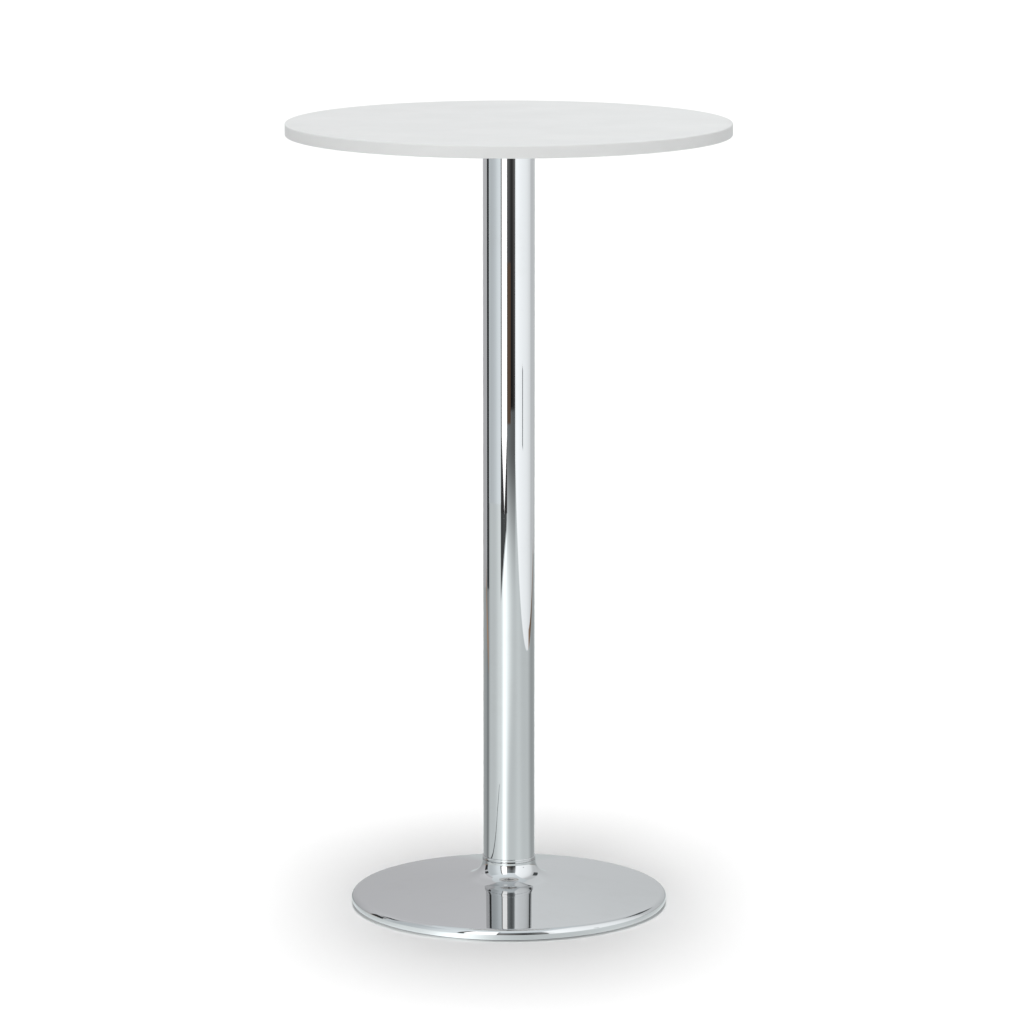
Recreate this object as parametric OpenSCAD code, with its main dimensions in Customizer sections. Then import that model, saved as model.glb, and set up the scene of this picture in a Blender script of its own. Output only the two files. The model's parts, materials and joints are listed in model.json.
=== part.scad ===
// Bar-height bistro table: round laminated top, chromed column, spun disc base.
// Origin: centre of the footprint on the floor, +Z up.

/* [Table] */
// Height from the floor to the top surface
table_h = 1075; // [700:5:1150]
// Diameter of the table top
top_d = 600; // [500:10:800]
// Thickness of the table top core
core_t = 15; // [12:1:30]
// Thickness of each laminate skin
skin_t = 0.8; // [0.5:0.1:1.5]
// Thickness of the edge band
band_t = 2; // [1:0.5:3]
// Radius of the rounded edge corners
band_round = 1.8; // [0.5:0.1:2]

/* [Column] */
// Outer diameter of the column tube
column_d = 70; // [60:1:90]
// Wall thickness of the column tube
column_wall = 1.5; // [1:0.1:3]
// Height of the ring at the foot of the column
ring_h = 5; // [3:0.5:12]
// Diameter of the tie rod
rod_d = 12; // [10:1:16]

/* [Base] */
// Diameter over the rolled rim
base_d = 432; // [380:2:500]
// Slope of the base cone in degrees
cone_slope = 7.6; // [5:0.1:15]
// Sheet thickness of the spun cover
cover_t = 1.2; // [0.8:0.1:2]
// Concave radius of the neck under the column
neck_round = 24; // [4:0.5:40]
// Slope in degrees where the neck radius ends
neck_slope = 35; // [20:1:60]
// Concave radius between the neck and the cone
trumpet_round = 38; // [20:1:160]
// Upper radius of the rim
rim_top_round = 9; // [6:0.5:20]
// Slope in degrees where the upper rim radius ends
rim_slope = 55; // [40:1:80]
// Lower radius of the rolled rim
rim_low_round = 7.5; // [3:0.5:12]
// Gap between the rolled rim and the floor
rim_lift = 1.5; // [0.5:0.1:5]
// Height of the ballast underside above the floor
ballast_z = 4; // [3:0.5:8]

/* [Levelling glides] */
// Number of levelling glides
glide_n = 4; // [3:1:6]
// Distance of the glides from the centre
glide_r = 165; // [120:5:180]
// Diameter of a glide pad
pad_d = 30; // [20:1:40]
// Nominal diameter of the glide thread
stud_d = 8; // [6:1:10]

/* [Fastening] */
// Number of spider arms
arm_n = 4; // [3:1:6]
// Reach of a spider arm
arm_len = 170; // [100:5:220]
// Width of a spider arm
arm_w = 40; // [25:1:60]
// Thickness of the spider plate
plate_t = 4; // [3:0.5:8]
// Diameter of the spider screws
screw_d = 6; // [5:1:8]

/* [Hidden] */
chrome_c = [0.77, 0.78, 0.79];
white_c = [0.93, 0.93, 0.92];
core_c = [0.62, 0.50, 0.36];
steel_c = [0.62, 0.63, 0.65];
black_c = [0.09, 0.09, 0.10];
iron_c = [0.20, 0.20, 0.21];
nylon_c = [0.14, 0.14, 0.15];

eps = 1;
fine = 96;
small = 48;
hex = 6;
arc_step = 3;
roll_step = 9;
sheet_gap = 0.2;
fit_gap = 0.05;
slip_gap = 0.3;

column_r = column_d / 2;
bore_r = column_r - column_wall;
top_r = top_d / 2;
base_r = base_d / 2;
rod_r = rod_d / 2;

// table top levels
top_t = core_t + 2 * skin_t;
top_z = table_h - top_t;
core_z = top_z + skin_t;
skin_z = table_h - skin_t;
core_r = top_r - band_t;

// spider levels
plate_z = top_z - plate_t;
plate_r = 60;
spigot_h = 14;
spigot_wall = 3;
spigot_r = bore_r - slip_gap;
screw_r = screw_d / 2;
screw_in = 70;
screw_out = 150;
screw_len = 14;
screw_head_r = 5.8;
screw_head_h = 3.2;
screw_key_r = 2.2;
screw_key_h = 1.8;
insert_r = 5;
insert_h = 12;
nut_h = 10;
nut_r = 19 / 2 / cos(30);
nut_round_r = 10.2;

// rim of the cover, from its lowest point up to the cone
low_x = base_r - rim_low_round;
low_z = rim_lift + rim_low_round;
high_x = low_x - (rim_top_round - rim_low_round) * sin(rim_slope);
high_z = low_z - (rim_top_round - rim_low_round) * cos(rim_slope);
cone_x = high_x + rim_top_round * sin(cone_slope);
cone_z = high_z + rim_top_round * cos(cone_slope);
roll_end = 190;

// trumpet neck of the cover, worked out from the cone
neck_r = column_r + sheet_gap + cover_t;
bend_x = neck_r + neck_round * (1 - sin(neck_slope));
flare_x = bend_x + trumpet_round * (sin(neck_slope) - sin(cone_slope));
flare_z = cone_z + (cone_x - flare_x) * tan(cone_slope);
bend_z = flare_z + trumpet_round * (cos(cone_slope) - cos(neck_slope));
seam_z = bend_z + neck_round * cos(neck_slope);
trumpet_cx = bend_x + trumpet_round * sin(neck_slope);
trumpet_cz = bend_z + trumpet_round * cos(neck_slope);
neck_cx = neck_r + neck_round;

// ballast disc
ballast_inset = 12;
ballast_r = base_r - ballast_inset;
ballast_gap = 4;
ballast_edge = 2;
shelf_inset = 2;
shelf_r = flare_x - shelf_inset;
hub_r = 48;
hub_z = 38;
recess_r = 30;
recess_h = 20;
bearing_z = ballast_z + recess_h;

// foot of the column
flange_r = 36;
flange_h = 3;
foot_h = 12;
tube_z = hub_z + flange_h;
tube_h = plate_z - tube_z;
ring_round = 0.7;
ring_step = 0.1;
ring_r = neck_r + ring_step;

// tie rod hardware
washer_r = 18.5;
washer_h = 3;
lock_r = 10;
lock_h = 2.5;
lock_split = 1.5;
washer_z = bearing_z - washer_h;
lock_z = washer_z - lock_h;
nut_z = lock_z - nut_h;
rod_tail = 2;
rod_z = nut_z - rod_tail;
rod_top = plate_z - eps;
rod_hole_r = rod_r + slip_gap;

// rubber ring
floor_inset = 2;
floor_w = 12;
floor_out = ballast_r - floor_inset;
floor_in = floor_out - floor_w;
floor_round = 1;

// levelling glides
pocket_gap = 2;
pocket_r = pad_d / 2 + pocket_gap;
pocket_h = 5;
bush_z = ballast_z + pocket_h;
bush_h = 7.2;
bush_r = 7;
stud_r = stud_d / 2;
stud_top = 17.2;
pad_z = 0.4;
pad_h = 5;
pad_edge = 1;
journal_r = 5;
journal_h = 3;
socket_gap = 0.06;
key_r = 13 / 2 / cos(30);
key_z = pad_z + pad_h;
key_h = 3.4;

// points of an arc of radius r about (cx, cz), by slope in degrees
function arc(cx, cz, r, from, to, step) = let (n = ceil(abs(to - from) / step))
    [for (i = [0:n]) let (a = from + (to - from) * i / n) [cx + r * sin(a), cz + r * cos(a)]];

// outer or inner line of the cover: t is the depth below the outer face
function cover_line(t) = concat(
    arc(low_x, low_z, rim_low_round - t, roll_end, rim_slope, roll_step),
    arc(high_x, high_z, rim_top_round - t, rim_slope, cone_slope, arc_step),
    arc(trumpet_cx, trumpet_cz, -(trumpet_round + t), cone_slope, neck_slope, arc_step),
    arc(neck_cx, seam_z, -(neck_round + t), neck_slope, 90, arc_step));

function reversed(list) = [for (i = [len(list) - 1:-1:0]) list[i]];

// height of the cone's outer face at radius r
function cone_at(r) = cone_z + (cone_x - r) * tan(cone_slope);
function ballast_at(r) = cone_at(r) - cover_t - ballast_gap;

module at_screws() {
    for (k = [0:arm_n - 1])
        for (r = [screw_in, screw_out])
            rotate([0, 0, k * 360 / arm_n])
                translate([r, 0, 0])
                    children();
}

module at_glide(k) {
    rotate([0, 0, (k + 0.5) * 360 / glide_n])
        translate([glide_r, 0, 0])
            children();
}

module at_glides() {
    for (k = [0:glide_n - 1])
        at_glide(k)
            children();
}

module disc(r, z, h, facets) {
    translate([0, 0, z])
        cylinder(r = r, h = h, $fn = facets);
}

module tube(r_out, r_in, z, h, facets) {
    difference() {
        disc(r_out, z, h, facets);
        disc(r_in, z - eps, h + 2 * eps, facets);
    }
}

module tabletop_core() {
    color(core_c)
        difference() {
            disc(core_r - fit_gap, core_z, core_t, fine);
            at_screws()
                disc(insert_r + fit_gap, core_z - eps, insert_h + eps, small);
        }
}

module top_laminate() {
    color(white_c)
        disc(core_r - fit_gap, skin_z, skin_t, fine);
}

module backing_laminate() {
    color(white_c)
        difference() {
            disc(core_r - fit_gap, top_z, skin_t, fine);
            at_screws()
                disc(insert_r + slip_gap, top_z - eps, skin_t + 2 * eps, small);
        }
}

module edge_band() {
    band_x = top_r - band_round;
    color(white_c)
        rotate_extrude($fn = fine)
            polygon(concat(
                [[core_r, top_z]],
                reversed(arc(band_x, top_z + band_round, band_round, 90, 180, roll_step)),
                reversed(arc(band_x, table_h - band_round, band_round, 0, 90, roll_step)),
                [[core_r, table_h]]));
}

module insert_nuts() {
    color(steel_c)
        at_screws()
            tube(insert_r, screw_r + fit_gap, core_z, insert_h - eps, small);
}

module spider_plate() {
    color(black_c)
        difference() {
            union() {
                disc(plate_r, plate_z, plate_t, fine);
                for (k = [0:arm_n - 1])
                    rotate([0, 0, k * 360 / arm_n]) {
                        translate([0, -arm_w / 2, plate_z])
                            cube([arm_len - arm_w / 2, arm_w, plate_t]);
                        translate([arm_len - arm_w / 2, 0, 0])
                            disc(arm_w / 2, plate_z, plate_t, small);
                    }
                tube(spigot_r, spigot_r - spigot_wall, plate_z - spigot_h, spigot_h + eps, fine);
            }
            disc(rod_hole_r, plate_z - eps, plate_t + 2 * eps, small);
            at_screws()
                disc(screw_r + slip_gap, plate_z - eps, plate_t + 2 * eps, small);
        }
}

module spider_screws() {
    color(steel_c)
        at_screws()
            difference() {
                union() {
                    disc(screw_r, plate_z - eps, screw_len + eps, small);
                    disc(screw_head_r, plate_z - screw_head_h, screw_head_h, small);
                }
                disc(screw_key_r, plate_z - screw_head_h - eps, screw_key_h + eps, hex);
            }
}

module column_tube() {
    color(chrome_c)
        tube(column_r, bore_r, tube_z, tube_h, fine);
}

module column_ring() {
    ring_x = ring_r - ring_round;
    color(chrome_c)
        rotate_extrude($fn = fine)
            polygon(concat(
                [[column_r + fit_gap, seam_z], [ring_r, seam_z]],
                reversed(arc(ring_x, seam_z + ring_h - ring_round, ring_round, 0, 90, roll_step)),
                [[column_r + fit_gap, seam_z + ring_h]]));
}

module column_foot() {
    color(steel_c)
        difference() {
            union() {
                disc(flange_r, hub_z, flange_h, fine);
                disc(bore_r - slip_gap, hub_z, flange_h + foot_h, fine);
            }
            disc(rod_hole_r, hub_z - eps, flange_h + foot_h + 2 * eps, small);
        }
}

module tie_rod() {
    color(steel_c)
        disc(rod_r, rod_z, rod_top - rod_z, small);
}

module rod_nut(z) {
    color(steel_c)
        difference() {
            intersection() {
                disc(nut_r, z, nut_h, hex);
                disc(nut_round_r, z, nut_h, small);
            }
            disc(rod_r + fit_gap, z - eps, nut_h + 2 * eps, small);
        }
}

module rod_top_nut() {
    rod_nut(plate_z - nut_h);
}

module rod_bottom_nut() {
    rod_nut(nut_z);
}

module rod_lock_washer() {
    color(steel_c)
        difference() {
            tube(lock_r, rod_r + slip_gap, lock_z, lock_h, small);
            translate([0, -lock_split / 2, lock_z - eps])
                cube([lock_r + eps, lock_split, lock_h + 2 * eps]);
        }
}

module rod_washer() {
    color(steel_c)
        tube(washer_r, rod_r + slip_gap, washer_z, washer_h, small);
}

module base_cover() {
    color(chrome_c)
        rotate_extrude($fn = fine)
            polygon(concat(cover_line(0), reversed(cover_line(cover_t))));
}

module ballast_plate() {
    color(iron_c)
        difference() {
            rotate_extrude($fn = fine)
                polygon([
                    [0, ballast_z],
                    [ballast_r - ballast_edge, ballast_z],
                    [ballast_r, ballast_z + ballast_edge],
                    [ballast_r, ballast_at(ballast_r)],
                    [shelf_r, ballast_at(shelf_r)],
                    [hub_r, ballast_at(shelf_r)],
                    [hub_r, hub_z],
                    [0, hub_z]]);
            disc(recess_r, ballast_z - eps, recess_h + eps, fine);
            disc(rod_hole_r, ballast_z, hub_z, small);
            at_glides() {
                disc(pocket_r, ballast_z - eps, pocket_h + eps, small);
                disc(bush_r + fit_gap, ballast_z, hub_z, small);
            }
        }
}

module floor_ring() {
    color(black_c)
        rotate_extrude($fn = fine)
            polygon([
                [floor_in, ballast_z],
                [floor_in, floor_round],
                [floor_in + floor_round, 0],
                [floor_out - floor_round, 0],
                [floor_out, floor_round],
                [floor_out, ballast_z]]);
}

module glide_bushes() {
    color(steel_c)
        at_glides()
            tube(bush_r, stud_r + fit_gap, bush_z, bush_h, small);
}

module glide_foot(k) {
    color(nylon_c)
        at_glide(k)
            difference() {
                rotate_extrude($fn = small)
                    polygon([
                        [0, pad_z],
                        [pad_d / 2 - pad_edge, pad_z],
                        [pad_d / 2, pad_z + pad_edge],
                        [pad_d / 2, pad_z + pad_h - pad_edge],
                        [pad_d / 2 - pad_edge, pad_z + pad_h],
                        [0, pad_z + pad_h]]);
                disc(journal_r + socket_gap, key_z - journal_h - socket_gap, journal_h + eps, small);
            }
}

module glide_stud(k) {
    color(steel_c)
        at_glide(k) {
            disc(journal_r, key_z - journal_h, journal_h + eps, small);
            disc(key_r, key_z + fit_gap, key_h, hex);
            disc(stud_r, key_z + eps, stud_top - key_z - eps, small);
        }
}

module glide_1_foot() { glide_foot(0); }
module glide_2_foot() { glide_foot(1); }
module glide_3_foot() { glide_foot(2); }
module glide_4_foot() { glide_foot(3); }
module glide_1_stud() { glide_stud(0); }
module glide_2_stud() { glide_stud(1); }
module glide_3_stud() { glide_stud(2); }
module glide_4_stud() { glide_stud(3); }

tabletop_core();
top_laminate();
backing_laminate();
edge_band();
insert_nuts();
spider_plate();
spider_screws();
column_tube();
column_ring();
column_foot();
tie_rod();
rod_top_nut();
rod_bottom_nut();
rod_lock_washer();
rod_washer();
base_cover();
ballast_plate();
floor_ring();
glide_bushes();
glide_1_foot();
glide_2_foot();
glide_3_foot();
glide_4_foot();
glide_1_stud();
glide_2_stud();
glide_3_stud();
glide_4_stud();
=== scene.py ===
"""Bistro table: looks of every piece, plain stage and camera. Metres, +Z up."""
import json
import math

import bmesh
import bpy
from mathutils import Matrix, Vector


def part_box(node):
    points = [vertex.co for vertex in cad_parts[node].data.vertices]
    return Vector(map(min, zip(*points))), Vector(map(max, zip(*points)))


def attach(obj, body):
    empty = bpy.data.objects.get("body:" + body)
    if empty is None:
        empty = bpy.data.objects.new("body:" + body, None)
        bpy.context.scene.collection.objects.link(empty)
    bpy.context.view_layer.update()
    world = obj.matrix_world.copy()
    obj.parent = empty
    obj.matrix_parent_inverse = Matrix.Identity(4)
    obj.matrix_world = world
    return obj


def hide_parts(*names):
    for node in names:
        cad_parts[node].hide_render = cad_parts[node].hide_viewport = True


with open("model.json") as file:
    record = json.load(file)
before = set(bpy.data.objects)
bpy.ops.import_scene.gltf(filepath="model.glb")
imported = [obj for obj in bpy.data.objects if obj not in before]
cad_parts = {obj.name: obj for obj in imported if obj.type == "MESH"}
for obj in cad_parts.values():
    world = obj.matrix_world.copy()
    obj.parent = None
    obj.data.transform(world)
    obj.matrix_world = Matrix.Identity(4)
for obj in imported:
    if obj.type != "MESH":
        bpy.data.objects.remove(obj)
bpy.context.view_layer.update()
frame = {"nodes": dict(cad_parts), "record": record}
NODES = frame["nodes"]
TABLE = "table"
MM = 0.001


# ---------------------------------------------------------------- materials
WHITE = (0.570, 0.576, 0.573)
BACKING_WHITE = (0.74, 0.74, 0.735)
CHROME_LIGHT = (0.578, 0.582, 0.584)
CHROME_DEEP = (0.538, 0.543, 0.547)
CHROME_WIPED = (0.52, 0.52, 0.515)
ZINC = (0.55, 0.56, 0.58)
ZINC_SPOT = (0.30, 0.29, 0.27)
PAINT = (0.018, 0.018, 0.020)
RUBBER = (0.016, 0.016, 0.016)
NYLON = (0.024, 0.024, 0.027)
IRON_HOLLOW = (0.020, 0.020, 0.022)
IRON_SKIN = (0.052, 0.052, 0.054)
RUST = (0.12, 0.045, 0.02)
FIBRE_LIGHT = (0.46, 0.32, 0.19)
FIBRE_DARK = (0.33, 0.22, 0.13)
FIBRE_DENSE = (0.25, 0.16, 0.09)
UNIT = (0, 1)
MIDDLE = (0.3, 0.7)  # where nearly all of a noise lies


def tree(name):
    """A new material, its node tree and its principled shader."""
    mat = bpy.data.materials.new(name)
    mat.use_nodes = True
    nt = mat.node_tree
    return mat, nt, nt.nodes["Principled BSDF"]


def put(nt, kind, props=None, **sockets):
    """A node with its properties and socket values; a socket value that is a socket is linked.
    i0, i1 and so on name a socket by its number."""
    node = nt.nodes.new(kind)
    for key, value in (props or {}).items():
        setattr(node, key, value)
    for key, value in sockets.items():
        key = key.replace("_", " ")
        slot = node.inputs[int(key[1:])] if key[0] == "i" and key[1:].isdigit() else node.inputs[key]
        if isinstance(value, bpy.types.NodeSocket):
            nt.links.new(value, slot)
        else:
            slot.default_value = value
    return node


def object_coords(nt, stretch=(1, 1, 1)):
    """Object coordinates, multiplied by stretch."""
    coords = put(nt, "ShaderNodeTexCoord")
    return put(nt, "ShaderNodeMapping", Vector=coords.outputs["Object"], Scale=stretch).outputs[0]


def noise(nt, vector, scale, detail=4, roughness=0.55):
    """Cloudy noise from 0 to 1 about 0.5."""
    return put(nt, "ShaderNodeTexNoise", Vector=vector, Scale=scale, Detail=detail,
               Roughness=roughness).outputs[0]


def remap(nt, value, source, target):
    """The value moved from the source range to the target range, and held inside it."""
    return put(nt, "ShaderNodeMapRange", Value=value, i1=source[0], i2=source[1], i3=target[0],
               i4=target[1]).outputs[0]


def blend_colours(nt, factor, colour_a, colour_b):
    """From colour_a at factor 0 to colour_b at factor 1; a colour is a tone or a socket."""
    at_0, at_1 = (c if isinstance(c, bpy.types.NodeSocket) else (*c, 1) for c in (colour_a, colour_b))
    return put(nt, "ShaderNodeMix", {"data_type": "RGBA"}, i0=factor, i6=at_0, i7=at_1).outputs[2]


def bump(nt, height, distance, strength=1.0, normal=None):
    """Relief of that depth in metres, on top of another relief."""
    under = {} if normal is None else {"Normal": normal}
    return put(nt, "ShaderNodeBump", Height=height, Distance=distance, Strength=strength, **under).outputs[0]


def wire(nt, shader, colour, roughness, normal):
    """Links colour, roughness and relief to the shader."""
    for key, value in (("Base Color", colour), ("Roughness", roughness), ("Normal", normal)):
        nt.links.new(value, shader.inputs[key])


def times(tone, share):
    """A tone multiplied by share."""
    return tuple(c * share for c in tone)


def chrome(name, spun):
    """Polished chrome: faint tint drift, wiped smudges, fine scratches and, on spun sheet, turning marks."""
    mat, nt, shader = tree(name)
    shader.inputs["Metallic"].default_value = 1.0
    at = object_coords(nt)
    drift = noise(nt, at, scale=5, detail=3)
    smudge = remap(nt, noise(nt, at, scale=17, detail=6, roughness=0.7), (0.52, 0.72), UNIT)
    tint = blend_colours(nt, drift, CHROME_LIGHT, CHROME_DEEP)
    tint = blend_colours(nt, remap(nt, smudge, UNIT, (0, 0.35)), tint, CHROME_WIPED)
    scratches = noise(nt, object_coords(nt, stretch=(1, 1, 0.02)), scale=900, detail=2)
    rough = put(nt, "ShaderNodeMath", {"operation": "ADD"}, i0=remap(nt, smudge, UNIT, (0.012, 0.05)),
                i1=remap(nt, scratches, (0.4, 0.8), (0.0, 0.02))).outputs[0]
    relief = bump(nt, noise(nt, at, scale=9, detail=1, roughness=0.3), distance=0.00006)
    if spun:
        turned = put(nt, "ShaderNodeTexWave", {"wave_type": "RINGS", "rings_direction": "Z"}, Vector=at,
                     Scale=180.0, Distortion=0.4, Detail=2.0)
        relief = bump(nt, turned.outputs[1], distance=0.0000012, normal=relief)
    wire(nt, shader, tint, rough, relief)
    return mat


def laminate(name, tone, grain):
    """Matt white laminate: fine pearl grain, faint tone drift, rubbed patches."""
    mat, nt, shader = tree(name)
    shader.inputs["Specular IOR Level"].default_value = 0.38
    at = object_coords(nt)
    drift = noise(nt, at, scale=3.2, detail=3)
    colour = blend_colours(nt, remap(nt, drift, MIDDLE, UNIT), tone, times(tone, 0.972))
    speck = remap(nt, noise(nt, at, scale=1400, detail=2), (0.62, 0.78), (0.0, 0.10))
    colour = blend_colours(nt, speck, colour, times(tone, 0.8))
    rough = remap(nt, noise(nt, at, scale=11), (0.3, 0.75), (0.42, 0.58))
    cell = put(nt, "ShaderNodeTexVoronoi", Vector=at, Scale=grain).outputs[0]
    relief = bump(nt, cell, distance=0.00004, strength=0.5)
    dust = noise(nt, at, scale=grain * 1.7, detail=2)
    relief = bump(nt, dust, distance=0.00002, strength=0.5, normal=relief)
    wire(nt, shader, colour, rough, relief)
    return mat


def moulded(name, tone, rough, pebble, depth, wear):
    """Plastic, rubber or paint: pebbled relief, colour drift and paler rubbed spots."""
    mat, nt, shader = tree(name)
    at = object_coords(nt)
    drift = remap(nt, noise(nt, at, scale=14), MIDDLE, UNIT)
    colour = blend_colours(nt, drift, tone, times(tone, 0.78))
    rub = remap(nt, noise(nt, at, scale=55, detail=6, roughness=0.7), (0.6, 0.76), (0, wear))
    colour = blend_colours(nt, rub, colour, tuple(min(1.0, c * 2.2 + 0.05) for c in tone))
    patches = remap(nt, noise(nt, at, scale=30), MIDDLE, rough)
    relief = bump(nt, noise(nt, at, scale=pebble, detail=3), distance=depth)
    wire(nt, shader, colour, patches, relief)
    return mat


def steel(name, tone, dull):
    """Zinc plated steel: cloudy passivation, fine turning lines, dull spots."""
    mat, nt, shader = tree(name)
    shader.inputs["Metallic"].default_value = 1.0
    at = object_coords(nt)
    cloud = remap(nt, noise(nt, at, scale=120, detail=5), MIDDLE, UNIT)
    colour = blend_colours(nt, cloud, tone, times(tone, 0.8))
    spot = remap(nt, noise(nt, at, scale=420, detail=3, roughness=0.7), (0.62, 0.74), (0, 0.5))
    colour = blend_colours(nt, spot, colour, ZINC_SPOT)
    rough = remap(nt, noise(nt, at, scale=260), MIDDLE, (dull, dull + 0.18))
    lines = noise(nt, object_coords(nt, stretch=(1, 1, 6)), scale=700, detail=3)
    wire(nt, shader, colour, rough, bump(nt, lines, distance=0.00002))
    return mat


def casting(name):
    """Primed iron casting: sandy skin, darker hollows, rust freckles."""
    mat, nt, shader = tree(name)
    at = object_coords(nt)
    sand = noise(nt, at, scale=320, detail=6, roughness=0.65)
    colour = blend_colours(nt, remap(nt, sand, MIDDLE, UNIT), IRON_HOLLOW, IRON_SKIN)
    rust = remap(nt, noise(nt, at, scale=46, detail=6, roughness=0.75), (0.66, 0.78), (0, 0.55))
    colour = blend_colours(nt, rust, colour, RUST)
    rough = remap(nt, sand, MIDDLE, (0.5, 0.75))
    relief = bump(nt, sand, distance=0.00025)
    relief = bump(nt, noise(nt, at, scale=40, detail=3), distance=0.0008, normal=relief)
    wire(nt, shader, colour, rough, relief)
    return mat


def fibreboard(name):
    """Raw fibreboard edge: short fibres, layered density."""
    mat, nt, shader = tree(name)
    fibre = noise(nt, object_coords(nt, stretch=(1, 1, 5)), scale=480, detail=5)
    layer = noise(nt, object_coords(nt, stretch=(0.2, 0.2, 1)), scale=260, detail=2)
    colour = blend_colours(nt, fibre, FIBRE_LIGHT, FIBRE_DARK)
    colour = blend_colours(nt, remap(nt, layer, MIDDLE, (0, 0.5)), colour, FIBRE_DENSE)
    rough = remap(nt, fibre, MIDDLE, (0.75, 0.9))
    wire(nt, shader, colour, rough, bump(nt, fibre, distance=0.0001))
    return mat


MATERIALS = {
    "chrome": chrome("tube_chrome", spun=False),
    "spun": chrome("spun_chrome", spun=True),
    "white_laminate": laminate("top_white", WHITE, grain=700),
    "white_edge": laminate("edge_white", times(WHITE, 0.98), grain=1500),
    "mdf": fibreboard("board"),
    "zinc_steel": steel("zinc", ZINC, dull=0.24),
    "black_paint": moulded("powder_coat", PAINT, rough=(0.38, 0.55), pebble=900, depth=0.00006, wear=0.25),
    "cast_iron": casting("iron"),
    "black_rubber": moulded("rubber", RUBBER, rough=(0.6, 0.8), pebble=600, depth=0.00005, wear=0.4),
    "black_nylon": moulded("nylon", NYLON, rough=(0.4, 0.6), pebble=1200, depth=0.00003, wear=0.5),
}
BACKING = laminate("backing_white", BACKING_WHITE, grain=420)
SLOT_OF = {row["node"]: row["material_slot"] for row in frame["record"]["subparts"]}
for node_name, node_object in NODES.items():
    look = BACKING if node_name == "backing_laminate" else MATERIALS[SLOT_OF[node_name]]
    for material_slot in node_object.material_slots:
        material_slot.material = look


# ---------------------------------------------------------------- meshes
SEGMENTS = 256
BAND_SEGMENTS = 512
WELD = 1e-7
SHARP = 35
COVER_SHARP = 40


def sine(degrees):
    """Sine of an angle in degrees."""
    return math.sin(math.radians(degrees))


def cosine(degrees):
    """Cosine of an angle in degrees."""
    return math.cos(math.radians(degrees))


def arc(cx, cz, r, start, end, step):
    """Points of an arc about (cx, cz), by slope in degrees, in millimetres, no further apart than step."""
    count = max(1, math.ceil(abs(end - start) / step))
    turns = (math.radians(start + (end - start) * k / count) for k in range(count + 1))
    return [(cx + r * math.sin(a), cz + r * math.cos(a)) for a in turns]


def rounded(inner, outer, low, high, edge, step):
    """Cross-section of a ring with its two outer corners rounded."""
    return (arc(outer - edge, low + edge, edge, 180, 90, step)
            + arc(outer - edge, high - edge, edge, 90, 0, step)
            + [(inner, high), (inner, low)])


def finish_mesh(name, bm, material, sharp):
    """A smooth object from a bmesh in metres, creased where faces turn by more than sharp degrees."""
    bmesh.ops.remove_doubles(bm, verts=bm.verts, dist=WELD)
    bmesh.ops.recalc_face_normals(bm, faces=bm.faces)
    mesh = bpy.data.meshes.new(name)
    bm.to_mesh(mesh)
    bm.free()
    mesh.shade_smooth()
    mesh.set_sharp_from_angle(angle=math.radians(sharp))
    mesh.materials.append(material)
    obj = bpy.data.objects.new(name, mesh)
    bpy.context.scene.collection.objects.link(obj)
    return obj


def revolve(bm, points, segments, radius):
    """Turns a closed line of (radius, height) points in millimetres about the Z axis, in metres.
    A point on the axis becomes one pole; radius(angle, r) may change the others with the angle."""
    rings = []
    for r, z in points:
        if r <= 0:
            rings.append([bm.verts.new((0, 0, z * MM))])
            continue
        ring = []
        for k in range(segments):
            a = 2 * math.pi * k / segments
            rr = radius(a, r) if radius else r
            ring.append(bm.verts.new((rr * MM * math.cos(a), rr * MM * math.sin(a), z * MM)))
        rings.append(ring)
    for low, high in zip(rings, rings[1:] + rings[:1]):
        for k in range(segments):
            n = (k + 1) % segments
            ends = [low[0]] if len(low) == 1 else [low[k], low[n]]
            ends += [high[0]] if len(high) == 1 else [high[n], high[k]]
            if len(ends) > 2:
                bm.faces.new(ends)


def lathe(name, points, material, node, sharp=SHARP, segments=SEGMENTS, radius=None):
    """A turned piece of the table that stands for a CAD node."""
    bm = bmesh.new()
    revolve(bm, points, segments, radius)
    obj = finish_mesh(name, bm, material, sharp)
    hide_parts(node)
    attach(obj, TABLE)


def span(node):
    """Outer radius, lowest and highest point of a round CAD node about the axis, in millimetres."""
    low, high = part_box(node)
    return max(high.x, -low.x, high.y) / MM, low.z / MM, high.z / MM


# base cover, in millimetres and degrees: a rolled rim, a low cone, and a trumpet that turns up into the neck
COVER_T = 1.2     # thickness of the sheet
RIM_LIFT = 1.5    # foot of the rim above the floor
ROLL_END = 190    # slope where the roll ends, just past its foot
ROLL_LOW = 7.5    # radius of the roll's lower part
RIM_TURN = 55     # slope where the roll's two radii meet
ROLL_TOP = 9      # radius of the roll's upper part
CONE = 7.6        # slope of the cone
TRUMPET = 38      # radius from the cone to the neck
NECK_TURN = 35    # slope where the trumpet's radius meets the neck's
NECK_ROUND = 24   # radius that ends upright, at the seam
SHEET_GAP = 0.2   # between the column and the sheet
CONE_STEPS = 24
ROLL_LOW_STEP = 6
ROLL_TOP_STEP = 1.5
TRUMPET_STEP = 0.75
NECK_STEP = 2

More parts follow.
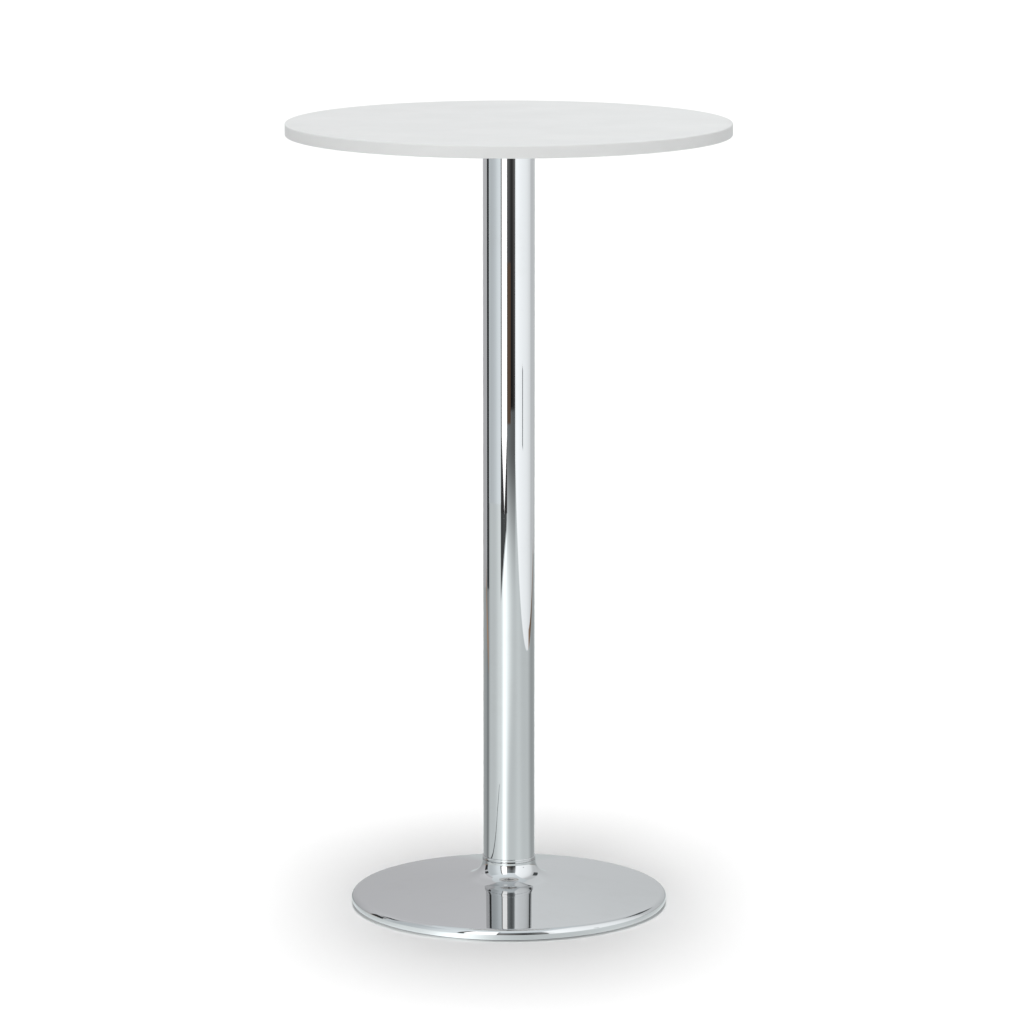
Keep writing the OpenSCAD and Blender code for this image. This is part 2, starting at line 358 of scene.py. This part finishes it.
base_r = round(span("base_cover")[0])
column_r, tube_low, tube_high = span("column_tube")
low_x = base_r - ROLL_LOW
low_z = RIM_LIFT + ROLL_LOW
high_x = low_x - (ROLL_TOP - ROLL_LOW) * sine(RIM_TURN)
high_z = low_z - (ROLL_TOP - ROLL_LOW) * cosine(RIM_TURN)
cone_x = high_x + ROLL_TOP * sine(CONE)
cone_z = high_z + ROLL_TOP * cosine(CONE)
neck_r = column_r + SHEET_GAP + COVER_T
bend_x = neck_r + NECK_ROUND * (1 - sine(NECK_TURN))
flare_x = bend_x + TRUMPET * (sine(NECK_TURN) - sine(CONE))
flare_z = cone_z + (cone_x - flare_x) * math.tan(math.radians(CONE))
bend_z = flare_z + TRUMPET * (cosine(CONE) - cosine(NECK_TURN))
seam_z = bend_z + NECK_ROUND * cosine(NECK_TURN)


def cover_line(t):
    """Line of the cover's sheet, t below its outer face, from the rim's foot to the seam."""
    bend_cx = bend_x + TRUMPET * sine(NECK_TURN)
    bend_cz = bend_z + TRUMPET * cosine(NECK_TURN)
    cone = [(cone_x + (flare_x - cone_x) * k / CONE_STEPS - t * sine(CONE),
             cone_z + (flare_z - cone_z) * k / CONE_STEPS - t * cosine(CONE)) for k in range(1, CONE_STEPS)]
    return (arc(low_x, low_z, ROLL_LOW - t, ROLL_END, RIM_TURN, ROLL_LOW_STEP)
            + arc(high_x, high_z, ROLL_TOP - t, RIM_TURN, CONE, ROLL_TOP_STEP)
            + cone
            + arc(bend_cx, bend_cz, -(TRUMPET + t), CONE, NECK_TURN, TRUMPET_STEP)
            + arc(neck_r + NECK_ROUND, seam_z, -(NECK_ROUND + t), NECK_TURN, 90, NECK_STEP))


lathe("base_cover_spun", cover_line(0) + cover_line(COVER_T)[::-1], MATERIALS["spun"], "base_cover",
      sharp=COVER_SHARP)

# column and its ring
WALL = 1.5
TUBE_STEPS = 40
RING_BORE = 0.05
RING_PROUD = 0.1
RING_ROUND = 0.7
RING_STEP = 15
tube_line = ([(column_r, tube_low + (tube_high - tube_low) * k / TUBE_STEPS) for k in range(TUBE_STEPS + 1)]
             + [(column_r - WALL, tube_high), (column_r - WALL, tube_low)])
lathe("column_tube_bright", tube_line, MATERIALS["chrome"], "column_tube")
_, ring_low, ring_high = span("column_ring")
ring_line = rounded(column_r + RING_BORE, neck_r + RING_PROUD, ring_low, ring_high, RING_ROUND, RING_STEP)
lathe("column_ring_turned", ring_line, MATERIALS["chrome"], "column_ring")

# laminate on the top, with its outer edge eased
BAND = 2
SKIN_GAP = 0.05
SKIN_EASE = 0.12
SKIN_STEPS = 12
top_r, band_low, band_high = span("edge_band")
top_r = round(top_r)
_, skin_low, skin_high = span("top_laminate")
skin_r = top_r - BAND - SKIN_GAP
skin_line = ([(skin_r, skin_low), (skin_r, skin_high - SKIN_EASE), (skin_r - SKIN_EASE, skin_high)]
             + [(skin_r * k / SKIN_STEPS, skin_high) for k in range(SKIN_STEPS - 1, -1, -1)]
             + [(0, skin_low)])
lathe("top_laminate_skin", skin_line, MATERIALS["white_laminate"], "top_laminate")

# edge band with rounded corners
BAND_ROUND = 1.8
BAND_STEP = 9
JOINT_HALF = math.radians(0.36)
JOINT_AT = math.radians(90)
JOINT_DEPTH = 0.25


def butt_joint(angle, r):
    """A shallow groove in the outer face where the two ends of the band meet."""
    near = abs(angle - JOINT_AT)
    if r <= top_r - BAND or near > JOINT_HALF:
        return r
    return r - JOINT_DEPTH * (1 - near / JOINT_HALF)


band_line = rounded(top_r - BAND, top_r, band_low, band_high, BAND_ROUND, BAND_STEP)
lathe("edge_band_rounded", band_line, MATERIALS["white_edge"], "edge_band",
      segments=BAND_SEGMENTS, radius=butt_joint)


# ---------------------------------------------------------------- stage
COOL = (0.90, 0.965, 1.0)
PALE = (0.95, 0.98, 1.0)
SLATE = (0.965, 0.972, 1.0)
NEUTRAL = (1, 1, 1)
BROWN = (1.0, 0.66, 0.45)
SHEEN = (0.93, 0.99, 1.0)
CARD_STEPS = 12
TALL = 4.2
BOARD_X = 1.75


def glow_material(name, tone):
    """A glowing surface whose strength is stored at its points."""
    mat = bpy.data.materials.new(name)
    mat.use_nodes = True
    nt = mat.node_tree
    nt.nodes.clear()
    level = put(nt, "ShaderNodeAttribute", {"attribute_name": "glow"}).outputs["Fac"]
    emit = put(nt, "ShaderNodeEmission", Color=(*tone, 1), Strength=level)
    put(nt, "ShaderNodeOutputMaterial", Surface=emit.outputs[0])
    return mat


def stage_mesh(name, corners, faces, material, glow=None):
    """A piece of the stage, with the strength of its glow at each corner."""
    mesh = bpy.data.meshes.new(name)
    mesh.from_pydata(corners, [], faces)
    mesh.update()
    mesh.materials.append(material)
    if glow is not None:
        mesh.attributes.new("glow", "FLOAT", "POINT").data.foreach_set("value", glow)
    obj = bpy.data.objects.new(name, mesh)
    bpy.context.scene.collection.objects.link(obj)
    return obj


def reflected(name, corners, faces, tone, glow):
    """A glowing piece of the stage that only reflections see."""
    obj = stage_mesh(name, corners, faces, glow_material(name, tone), glow)
    obj.visible_camera = False
    obj.visible_diffuse = False
    obj.visible_shadow = False
    obj.visible_transmission = False


def grid_faces(along, across):
    """Faces of a grid of corners that was filled across first."""
    wide = across + 1
    return [(k * wide + n, k * wide + n + 1, (k + 1) * wide + n + 1, (k + 1) * wide + n)
            for k in range(along) for n in range(across)]


def around(azimuth, distance, z):
    """A point at that azimuth from the table's axis: 0 towards the camera, positive to the right."""
    a = math.radians(azimuth)
    return (distance * math.sin(a), -distance * math.cos(a), z)


def ramp(value, start, end):
    """0 up to start, 1 from end, smooth between."""
    t = min(1.0, max(0.0, (value - start) / (end - start)))
    return t * t * (3 - 2 * t)


def hump(value, centre, width):
    """1 at the centre, falling off smoothly over width."""
    return math.exp(-((value - centre) / width) ** 2)


def level_at(levels, t):
    """The level at share t of an evenly spaced row of levels."""
    last = len(levels) - 1
    at = min(last - 1, int(t * last))
    return levels[at] + (levels[at + 1] - levels[at]) * (t * last - at)


def card(name, left, right, foot, head, tone, levels):
    """A straight studio card from left to right (x, y) and from foot to head; levels run along it."""
    corners, glow = [], []
    for k in range(CARD_STEPS + 1):
        t = k / CARD_STEPS
        for z in (foot, head):
            corners.append((left[0] + (right[0] - left[0]) * t, left[1] + (right[1] - left[1]) * t, z))
            glow.append(level_at(levels, t))
    reflected(name, corners, grid_faces(CARD_STEPS, 1), tone, glow)


LIFT_RISE = 2.5
LIFT_MIDDLE = 0.5


def panel(name, azimuths, distance, foot, head, tone, levels, point=0.0, lift=0.0):
    """A curved studio panel between two azimuths; levels run along it.
    Its foot is lower by point in the middle; lift darkens the foot and brightens the head."""
    corners, glow = [], []
    for k in range(CARD_STEPS + 1):
        t = k / CARD_STEPS
        low = foot - point + point * abs(2 * t - 1)
        azimuth = azimuths[0] + (azimuths[1] - azimuths[0]) * t
        for row in range(CARD_STEPS + 1):
            up = row / CARD_STEPS
            corners.append(around(azimuth, distance, low + (head - low) * up))
            glow.append(level_at(levels, t) * (1 + lift * (min(1.0, LIFT_RISE * up) - LIFT_MIDDLE)))
    reflected(name, corners, grid_faces(CARD_STEPS, CARD_STEPS), tone, glow)


# the floor that the camera sees
FLOOR_HALF = 60
FLOOR_TONE = (0.86, 0.86, 0.86, 1)
FLOOR_ROUGHNESS = 0.9
floor_mat, _, floor_shader = tree("floor")
floor_shader.inputs["Base Color"].default_value = FLOOR_TONE
floor_shader.inputs["Roughness"].default_value = FLOOR_ROUGHNESS
floor_shader.inputs["Specular IOR Level"].default_value = 0.0
floor_corners = [(-FLOOR_HALF, -FLOOR_HALF, 0), (FLOOR_HALF, -FLOOR_HALF, 0),
                 (FLOOR_HALF, FLOOR_HALF, 0), (-FLOOR_HALF, FLOOR_HALF, 0)]
floor = stage_mesh("floor", floor_corners, [(0, 1, 2, 3)], floor_mat)
floor.visible_glossy = False

# the floor that the chrome sees; azimuths in degrees, distances in metres
FLOOR_LEVEL = 0.88
GLOWS = ((0.12, 43, 14), (0.29, -41, 15), (-0.34, -106, 9))  # gain, azimuth and width
SOFTBOX_GLOW = 1.05
SOFTBOX_AT = -20
SOFTBOX_LEFT = 10
SOFTBOX_RIGHT = 12
SOFTBOX_SPREAD = 13
SPREAD_RANGE = (0.3, 1.8)
SIDE_LOSS = 0.36
SIDE_RANGE = (88, 120)
BACK_GAIN = 0.14
BACK_RANGE = (140, 165)
NEAR_GAIN = 0.05
NEAR_WIDTH = 0.6
DOOR_LOSS = 0.82
DOOR_LEFT = (-11, -6)
DOOR_RIGHT = (27, 31)
DOOR_SILL = (2.1, 3.9)
# the softbox's leg hides a wedge of floor, which widens to the right with the distance
LEG_LOSS = 0.94
LEG_LEFT = (-38, -35)
LEG_FOOT = (2.1, 2.3)
LEG_START = 2.27
LEG_SLANT = 37
LEG_NARROW = -33
LEG_WIDE = -8.0
LEG_SOFT = (-3, 1)


def floor_level(azimuth, distance):
    """Tone of the floor: bright by the softbox, dark at the doorway and at the softbox's leg."""
    side = abs(azimuth)
    right_width = SOFTBOX_RIGHT + SOFTBOX_SPREAD * ramp(distance, *SPREAD_RANGE)
    softbox_width = SOFTBOX_LEFT if azimuth < SOFTBOX_AT else right_width
    level = FLOOR_LEVEL + sum(gain * hump(azimuth, centre, width) for gain, centre, width in GLOWS)
    level += SOFTBOX_GLOW * hump(azimuth, SOFTBOX_AT, softbox_width)
    level += BACK_GAIN * ramp(side, *BACK_RANGE) - SIDE_LOSS * ramp(side, *SIDE_RANGE)
    level *= 1 + NEAR_GAIN * hump(distance, 0, NEAR_WIDTH)
    doorway = ramp(azimuth, *DOOR_LEFT) * (1 - ramp(azimuth, *DOOR_RIGHT)) * ramp(distance, *DOOR_SILL)
    leg_edge = min(LEG_WIDE, LEG_NARROW + LEG_SLANT * (distance - LEG_START))
    leg_right = 1 - ramp(azimuth, leg_edge + LEG_SOFT[0], leg_edge + LEG_SOFT[1])
    leg = ramp(azimuth, *LEG_LEFT) * leg_right * ramp(distance, *LEG_FOOT)
    return level * (1 - DOOR_LOSS * doorway) * (1 - LEG_LOSS * leg)


SHEEN_NEAR = 0.02
SHEEN_FAR = 12
SHEEN_CROWD = 1.6
SHEEN_Z = 0.0008
FAR_STEPS = 90
AZIMUTH_STEPS = 240
sheen_spots = [(-180 + 360 * col / AZIMUTH_STEPS, SHEEN_NEAR + SHEEN_FAR * (row / FAR_STEPS) ** SHEEN_CROWD)
               for row in range(FAR_STEPS + 1) for col in range(AZIMUTH_STEPS + 1)]
reflected("floor_sheen", [around(azimuth, distance, SHEEN_Z) for azimuth, distance in sheen_spots],
          grid_faces(FAR_STEPS, AZIMUTH_STEPS), SHEEN,
          [floor_level(azimuth, distance) for azimuth, distance in sheen_spots])

# a thin dark line on the floor, left of the table
LINE_POINTS = ((-0.52, -0.56), (-0.47, -0.37), (-0.37, -0.20), (-0.31, -0.09), (-0.28, 0.0))
LINE_HALF = 0.009
LINE_Z = 0.0012
LINE_LEVEL = 0.12
line_corners = [(x + side * LINE_HALF, y, LINE_Z) for x, y in LINE_POINTS for side in (-1, 1)]
reflected("floor_line", line_corners, grid_faces(len(LINE_POINTS) - 1, 1), COOL,
          [LINE_LEVEL] * len(line_corners))

# right side: a white board with its seam and skirting, and a dark stand in front of its far end
card("board_right", left=(BOARD_X, -3.3), right=(BOARD_X, 0.6), foot=0, head=TALL, tone=PALE,
     levels=(1.4, 1.75, 1.65, 1.55, 1.45, 1.15))
card("board_seam", left=(BOARD_X - 0.02, -0.95), right=(BOARD_X - 0.02, -0.8), foot=0.32, head=0.46,
     tone=COOL, levels=(0.2, 0.5))
card("board_far", left=(BOARD_X, 0.5), right=(BOARD_X, 2.0), foot=0, head=TALL, tone=PALE,
     levels=(1.02, 0.86, 0.84, 0.84))
card("dark_right", left=(BOARD_X - 0.03, 0.95), right=(BOARD_X - 0.03, 2.0), foot=1.1, head=1.85,
     tone=COOL, levels=(0.12, 0.12))
card("skirting_right", left=(BOARD_X - 0.01, 0.25), right=(BOARD_X - 0.01, 2.0), foot=0, head=0.035,
     tone=BROWN, levels=(0.45, 0.2, 0.35, 0.3))

# back wall and left side
panel("back_right", azimuths=(138, 180), distance=2.62, foot=0, head=TALL, tone=PALE,
      levels=(0.84, 0.84), lift=0.35)
panel("back_left", azimuths=(-180, -114), distance=2.3, foot=0, head=TALL, tone=SLATE,
      levels=(0.71, 0.71, 0.82), lift=0.35)
panel("dark_left", azimuths=(-115, -99), distance=2.3, foot=0, head=0.9, tone=COOL, levels=(0.03, 0.08))
panel("dark_high", azimuths=(-131, -97), distance=2.3, foot=1.2, head=1.75, tone=COOL, levels=(0.16, 0.05))
panel("corner_left", azimuths=(-115, -99), distance=2.35, foot=0.85, head=TALL, tone=SLATE,
      levels=(0.75, 0.85))
card("skirting_left", left=(-1.95, 1.3), right=(-1.5, 0.34), foot=0, head=0.06, tone=BROWN,
     levels=(0.35, 0.6, 0.45))
panel("grey_left", azimuths=(-99.5, -36), distance=3.2, foot=0, head=TALL, tone=COOL,
      levels=(0.92, 0.82, 0.88, 1.0, 1.25, 1.3))

# camera side: the softbox in its dark frame, and the dark doorway behind the camera
panel("softbox_frame", azimuths=(-36, -7.5), distance=3.1, foot=0, head=TALL, tone=NEUTRAL,
      levels=(0.16, 0.14), lift=1.2)
panel("softbox", azimuths=(-31.5, -8.5), distance=3.0, foot=0.17, head=TALL, tone=NEUTRAL,
      levels=(2.1, 2.1), point=0.15)
panel("doorway", azimuths=(-9, 29), distance=4.4, foot=0, head=TALL, tone=NEUTRAL,
      levels=(0.30, 0.24, 0.15, 0.06, 0.09, 0.22, 0.34), lift=1.5)
panel("doorway_head", azimuths=(-9, 29), distance=4.3, foot=2.0, head=TALL, tone=COOL,
      levels=(0.55, 0.46, 0.34, 0.22, 0.26, 0.42, 0.60))
panel("doorway_foot", azimuths=(-9, 8), distance=4.2, foot=0, head=0.35, tone=BROWN, levels=(0.2, 0.13))

# ceiling, brightest towards the camera
CEILING_R = 5.0
CEILING_LEVELS = (1.35, 1.2, 1.0, 0.95, 0.9, 0.9, 0.9, 0.9, 0.95, 1.0, 1.2, 1.4)
CEILING_SIDES = len(CEILING_LEVELS)
reflected("ceiling", [around(360 * k / CEILING_SIDES, CEILING_R, TALL) for k in range(CEILING_SIDES)],
          [tuple(range(CEILING_SIDES))], COOL, CEILING_LEVELS)


def add_lamp(name, kind, energy, location, tilt, turn=0):
    """A lamp that reflections don't see; tilt and turn in degrees."""
    lamp = bpy.data.lights.new(name, kind)
    lamp.energy = energy
    obj = bpy.data.objects.new(name, lamp)
    obj.location = location
    obj.rotation_euler = (math.radians(tilt), 0, math.radians(turn))
    obj.visible_glossy = False
    bpy.context.scene.collection.objects.link(obj)
    return lamp


# soft overhead light: suns in a row give the long soft shadow of the top
SUN_TILTS = (-18, -9, 0, 8.5, 17)
SUN_TOTAL = 1.0
SUN_SPREAD = 20
for number, sun_tilt in enumerate(SUN_TILTS):
    sun = add_lamp(f"overhead_{number}", "SUN", math.pi * SUN_TOTAL / len(SUN_TILTS), (0, 0, 0), sun_tilt)
    sun.angle = math.radians(SUN_SPREAD)

FILL_POWER = 110
FILL_SIZE = 3.0
fill = add_lamp("front_fill", "AREA", FILL_POWER, location=(-1.6, -6.5, 2.4), tilt=78, turn=-14)
fill.size = FILL_SIZE

# world: bright near the horizon, dim overhead
HORIZON = (0.15, 0.45)
HORIZON_TO_ZENITH = (1.5, 0.12)
world = bpy.data.worlds.new("studio")
world.use_nodes = True
world_tree = world.node_tree
background = world_tree.nodes["Background"]
sky = put(world_tree, "ShaderNodeTexCoord").outputs["Generated"]
height = put(world_tree, "ShaderNodeSeparateXYZ", Vector=sky).outputs[2]
world_tree.links.new(remap(world_tree, height, HORIZON, HORIZON_TO_ZENITH), background.inputs["Strength"])
background.inputs["Color"].default_value = (1, 1, 1, 1)
scene = bpy.context.scene
scene.world = world

# ---------------------------------------------------------------- camera
CAMERA_BACK = 6.883
CAMERA_UP = 1.7758
CAMERA_TILT = 10.14
CAMERA_SIDE = 0.0042
LENS = 181.18
SENSOR = 36
camera = bpy.data.cameras.new("camera")
camera.sensor_width = SENSOR
camera.lens = LENS
camera_object = bpy.data.objects.new("camera", camera)
camera_object.location = (CAMERA_SIDE, -CAMERA_BACK, CAMERA_UP)
camera_object.rotation_euler = (math.radians(90 - CAMERA_TILT), 0, 0)
scene.collection.objects.link(camera_object)
scene.camera = camera_object
scene.view_settings.view_transform = "Standard"
scene.view_settings.look = "None"
